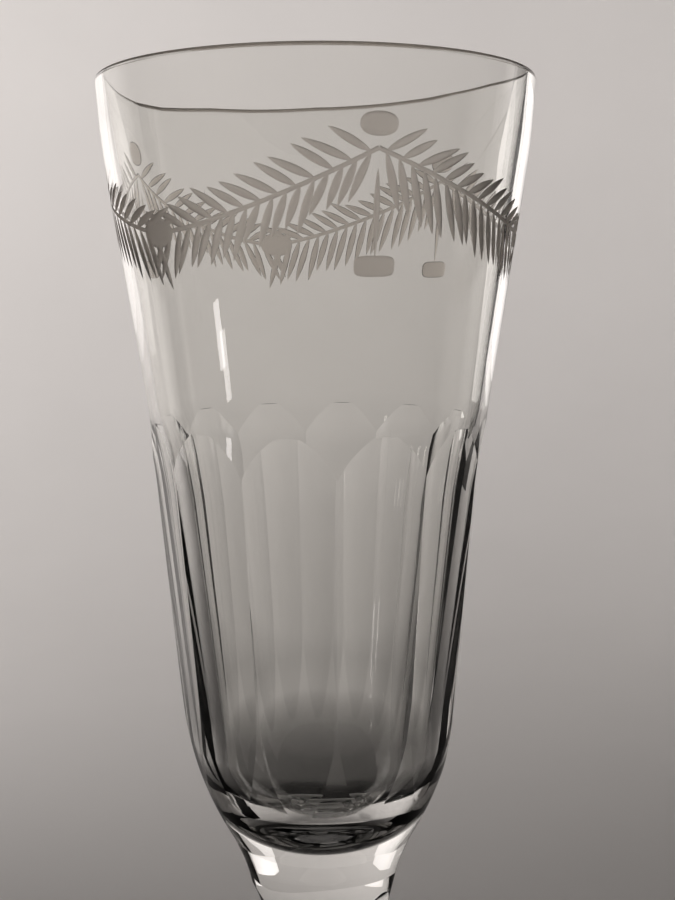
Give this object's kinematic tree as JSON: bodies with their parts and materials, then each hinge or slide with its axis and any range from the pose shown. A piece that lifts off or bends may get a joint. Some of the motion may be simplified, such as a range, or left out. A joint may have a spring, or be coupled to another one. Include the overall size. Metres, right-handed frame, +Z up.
{
  "type": "champagne flute",
  "caption": "Tall cut-glass champagne flute: flared bowl with an engraved leaf garland, arched flat panels below, faceted stem and round foot.",
  "frame": {"origin": "centre of the foot, on the surface that the flute stands on", "axes": "+Z up along the glass's axis; -Y faces the viewer; X and Y run across"},
  "size_m": [0.06, 0.06, 0.172],
  "materials": {
    "crystal": "blown, cut and polished lead crystal, clear with a faint grey cast"
  },
  "bodies": {
    "root": {"bowl": "crystal", "stem": "crystal", "foot": "crystal"}
  },
  "joints": []
}
